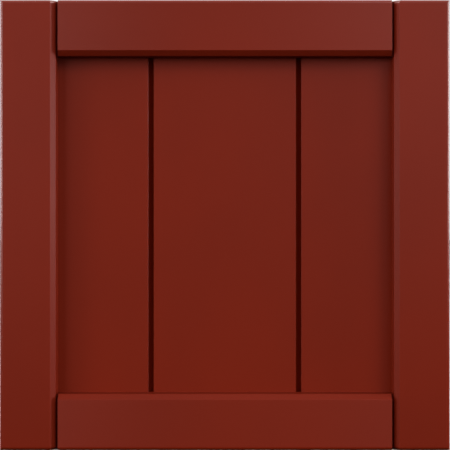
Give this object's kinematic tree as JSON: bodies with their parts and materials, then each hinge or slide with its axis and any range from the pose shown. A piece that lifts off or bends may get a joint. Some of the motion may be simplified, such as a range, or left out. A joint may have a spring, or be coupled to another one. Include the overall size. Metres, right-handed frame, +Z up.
{
  "type": "board and batten shutter",
  "caption": "Square framed board and batten shutter: tongue and groove boards with square reveals between them, carried behind chamfered stiles and rails, painted dark red.",
  "frame": {"origin": "centre of the flat back face, where the shutter lies on the wall", "axes": "+X to the right seen from the front, +Y out of the back into the wall, +Z up; the front looks towards -Y"},
  "size_m": [0.419, 0.0381, 0.419],
  "materials": {
    "frame_paint": "smooth satin paint, dark red, over wood",
    "board_paint": "smooth satin paint, dark red, over wood"
  },
  "bodies": {
    "root": {"left_stile": "frame_paint", "right_stile": "frame_paint", "top_rail": "frame_paint", "bottom_rail": "frame_paint", "left_board": "board_paint", "centre_board": "board_paint", "right_board": "board_paint"}
  },
  "joints": []
}
